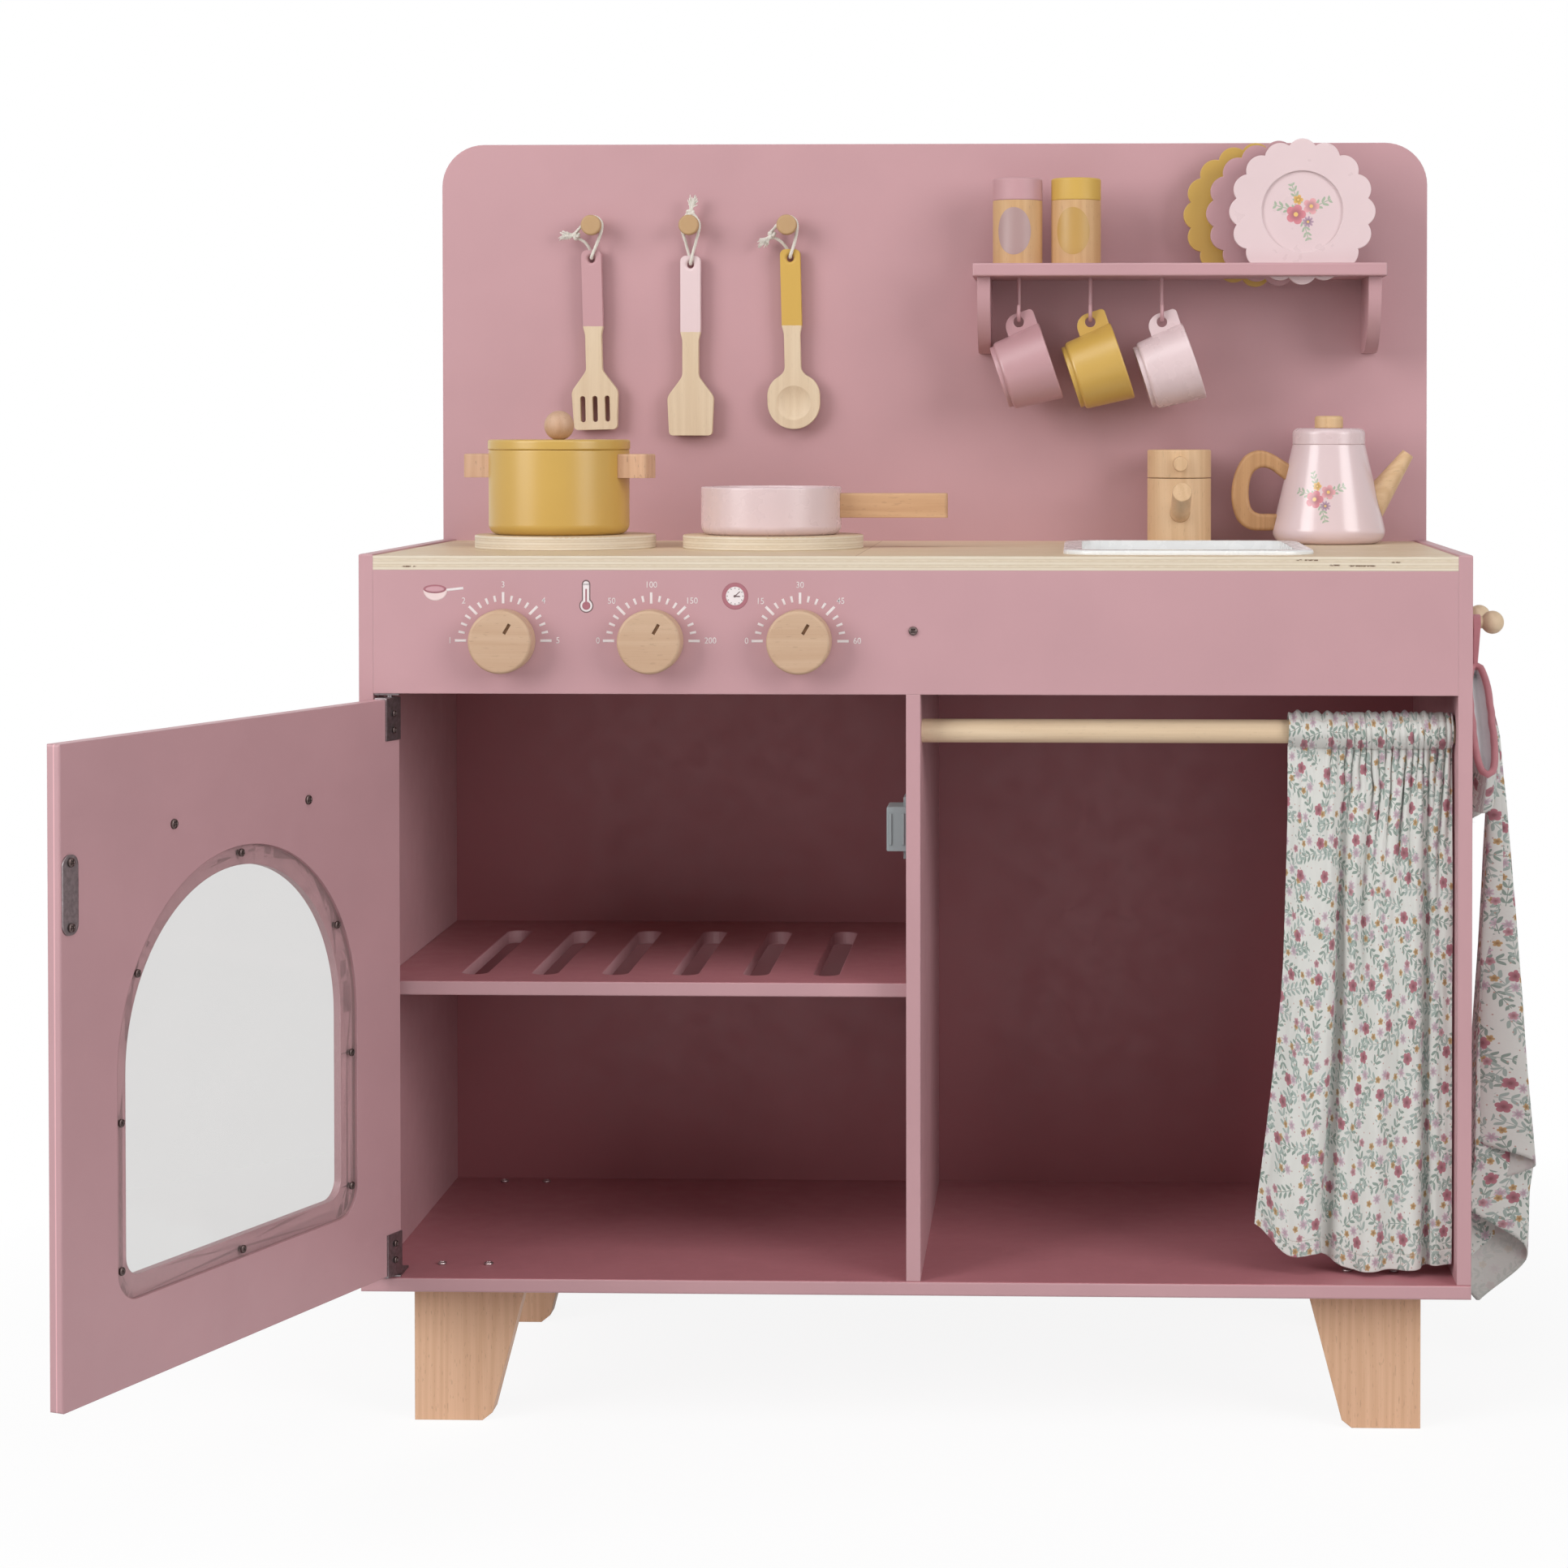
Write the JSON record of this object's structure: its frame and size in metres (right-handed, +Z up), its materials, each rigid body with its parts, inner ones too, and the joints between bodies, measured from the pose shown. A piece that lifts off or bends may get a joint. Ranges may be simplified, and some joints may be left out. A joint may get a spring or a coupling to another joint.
{
  "type": "wooden toy kitchen",
  "caption": "Free-standing wooden toy kitchen with an oven door, curtained cupboard, sink, hob discs, turning knobs, a shelf and hung cookware.",
  "frame": {"origin": "on the floor under the middle of the cabinet's footprint", "axes": "+X to the user's right, +Y to the back, +Z up; the door, knobs and curtain face -Y"},
  "size_m": [0.8608, 0.5846, 0.837],
  "materials": {
    "rose_paint": "satin painted board",
    "mustard_paint": "satin paint",
    "blush_paint": "satin paint",
    "bare_wood": "clear matt lacquer",
    "ply_wood": "clear matt lacquer",
    "white_plastic": "gloss",
    "grey_plastic": "matt",
    "steel": "zinc plated",
    "rose_wire": "satin paint",
    "window_sheet": "clear acrylic",
    "printed_cotton": "printed weave",
    "cotton_cord": "twisted cotton"
  },
  "bodies": {
    "cabinet": {"side_panel_left": "rose_paint", "side_panel_right": "rose_paint", "bottom_panel": "rose_paint", "divider_panel": "rose_paint", "cabinet_back": "rose_paint", "splashback": "rose_paint", "worktop": "ply_wood", "control_panel": "rose_paint", "oven_rack": "rose_paint", "curtain_rod": "bare_wood", "legs": "bare_wood", "cabinet_screws": "steel", "hinge_fixed_leaves": "steel", "magnet_catch": "grey_plastic", "hob_discs": "ply_wood", "sink_basin": "white_plastic", "faucet_body": "bare_wood", "faucet_spout": "bare_wood", "spice_shelf": "rose_paint", "shelf_brackets": "rose_paint", "cup_hooks": "rose_wire", "hanging_pegs": "bare_wood"},
    "door": {"door_panel": "rose_paint", "door_window": "window_sheet", "door_handle": "bare_wood", "strike_plate": "steel", "hinge_door_leaves": "steel", "door_screws": "steel"},
    "heat_knob": {"knob_heat": "bare_wood"},
    "temperature_knob": {"knob_temperature": "bare_wood"},
    "timer_knob": {"knob_timer": "bare_wood"},
    "tap_cap": {"faucet_cap": "bare_wood"},
    "curtain_body": {"curtain": "printed_cotton"},
    "pot": {"pot_body": "mustard_paint", "pot_handles": "bare_wood"},
    "pot_cover": {"pot_lid": "mustard_paint", "pot_lid_knob": "bare_wood"},
    "pan": {"pan_body": "blush_paint", "pan_handle": "bare_wood"},
    "teapot": {"teapot_body": "blush_paint", "teapot_handle": "bare_wood", "teapot_spout": "bare_wood"},
    "teapot_cover": {"teapot_lid": "blush_paint", "teapot_lid_knob": "bare_wood"},
    "rose_cup": {"cup_rose": "rose_paint"},
    "mustard_cup": {"cup_mustard": "mustard_paint"},
    "blush_cup": {"cup_blush": "blush_paint"},
    "mustard_plate": {"plate_mustard": "mustard_paint"},
    "rose_plate": {"plate_rose": "rose_paint"},
    "blush_plate": {"plate_blush": "blush_paint"},
    "salt": {"salt_shaker": "bare_wood"},
    "pepper": {"pepper_shaker": "bare_wood"},
    "slotted_turner_hung": {"slotted_turner": "bare_wood", "cord_slotted_turner": "cotton_cord"},
    "flat_turner_hung": {"flat_turner": "bare_wood", "cord_flat_turner": "cotton_cord"},
    "spoon_hung": {"stirring_spoon": "bare_wood", "cord_stirring_spoon": "cotton_cord"},
    "mitt": {"oven_mitt": "printed_cotton"},
    "towel": {"tea_towel": "printed_cotton"}
  },
  "joints": [
    {"name": "door_hinge", "type": "hinge", "parent": "cabinet", "child": "door", "pos_m": [-0.3315, -0.138, 0.2825], "axis": [0, 0, 1], "range_deg": [-12, 111.5]},
    {"name": "heat_knob_turn", "type": "hinge", "parent": "cabinet", "child": "heat_knob", "pos_m": [-0.258, -0.1425, 0.5016], "axis": [0, -1, 0], "continuous": true},
    {"name": "temperature_knob_turn", "type": "hinge", "parent": "cabinet", "child": "temperature_knob", "pos_m": [-0.1645, -0.1425, 0.5016], "axis": [0, -1, 0], "continuous": true},
    {"name": "timer_knob_turn", "type": "hinge", "parent": "cabinet", "child": "timer_knob", "pos_m": [-0.071, -0.1425, 0.5016], "axis": [0, -1, 0], "continuous": true},
    {"name": "tap_turn", "type": "hinge", "parent": "cabinet", "child": "tap_cap", "pos_m": [0.174, 0.0975, 0.61], "axis": [0, 0, 1], "range_deg": [-90, 90]},
    {"name": "curtain_slide", "type": "slide", "parent": "cabinet", "child": "curtain_body", "axis": [1, 0, 0], "range_m": [-0.2, 0]},
    {"name": "pot_lift", "type": "slide", "parent": "cabinet", "child": "pot", "axis": [0, 0, 1], "range_m": [0, 0.1]},
    {"name": "pot_lid_lift", "type": "slide", "parent": "pot", "child": "pot_cover", "axis": [0, 0, 1], "range_m": [0, 0.08]},
    {"name": "pan_lift", "type": "slide", "parent": "cabinet", "child": "pan", "axis": [0, 0, 1], "range_m": [0, 0.1]},
    {"name": "teapot_lift", "type": "slide", "parent": "cabinet", "child": "teapot", "axis": [0, 0, 1], "range_m": [0, 0.045]},
    {"name": "teapot_lid_lift", "type": "slide", "parent": "teapot", "child": "teapot_cover", "axis": [0, 0, 1], "range_m": [0, 0.05]},
    {"name": "rose_cup_swing", "type": "hinge", "parent": "cabinet", "child": "rose_cup", "pos_m": [0.062, 0.091, 0.7103], "axis": [0, 1, 0], "range_deg": [-4, 1.5]},
    {"name": "mustard_cup_swing", "type": "hinge", "parent": "cabinet", "child": "mustard_cup", "pos_m": [0.1118, 0.091, 0.7103], "axis": [0, 1, 0], "range_deg": [-4, 4]},
    {"name": "blush_cup_swing", "type": "hinge", "parent": "cabinet", "child": "blush_cup", "pos_m": [0.1616, 0.091, 0.7103], "axis": [0, 1, 0], "range_deg": [-4, 4]},
    {"name": "mustard_plate_lift", "type": "slide", "parent": "cabinet", "child": "mustard_plate", "axis": [0, 0, 1], "range_m": [0, 0.08]},
    {"name": "rose_plate_lift", "type": "slide", "parent": "cabinet", "child": "rose_plate", "axis": [0, 0, 1], "range_m": [0, 0.08]},
    {"name": "blush_plate_lift", "type": "slide", "parent": "cabinet", "child": "blush_plate", "axis": [0, 0, 1], "range_m": [0, 0.08]},
    {"name": "salt_lift", "type": "slide", "parent": "cabinet", "child": "salt", "axis": [0, 0, 1], "range_m": [0, 0.1]},
    {"name": "pepper_lift", "type": "slide", "parent": "cabinet", "child": "pepper", "axis": [0, 0, 1], "range_m": [0, 0.1]},
    {"name": "slotted_turner_swing", "type": "hinge", "parent": "cabinet", "child": "slotted_turner_hung", "pos_m": [-0.2409, 0.1245, 0.7787], "axis": [0, 1, 0], "range_deg": [-6, 6]},
    {"name": "flat_turner_swing", "type": "hinge", "parent": "cabinet", "child": "flat_turner_hung", "pos_m": [-0.1716, 0.1245, 0.7787], "axis": [0, 1, 0], "range_deg": [-6, 6]},
    {"name": "spoon_swing", "type": "hinge", "parent": "cabinet", "child": "spoon_hung", "pos_m": [-0.1023, 0.1245, 0.7787], "axis": [0, 1, 0], "range_deg": [-6, 6]},
    {"name": "mitt_swing", "type": "hinge", "parent": "cabinet", "child": "mitt", "pos_m": [0.3645, -0.0395, 0.508], "axis": [1, 0, 0], "range_deg": [-2, 2]},
    {"name": "towel_swing", "type": "hinge", "parent": "cabinet", "child": "towel", "pos_m": [0.3645, 0.0315, 0.508], "axis": [1, 0, 0], "range_deg": [-2, 2]}
  ]
}
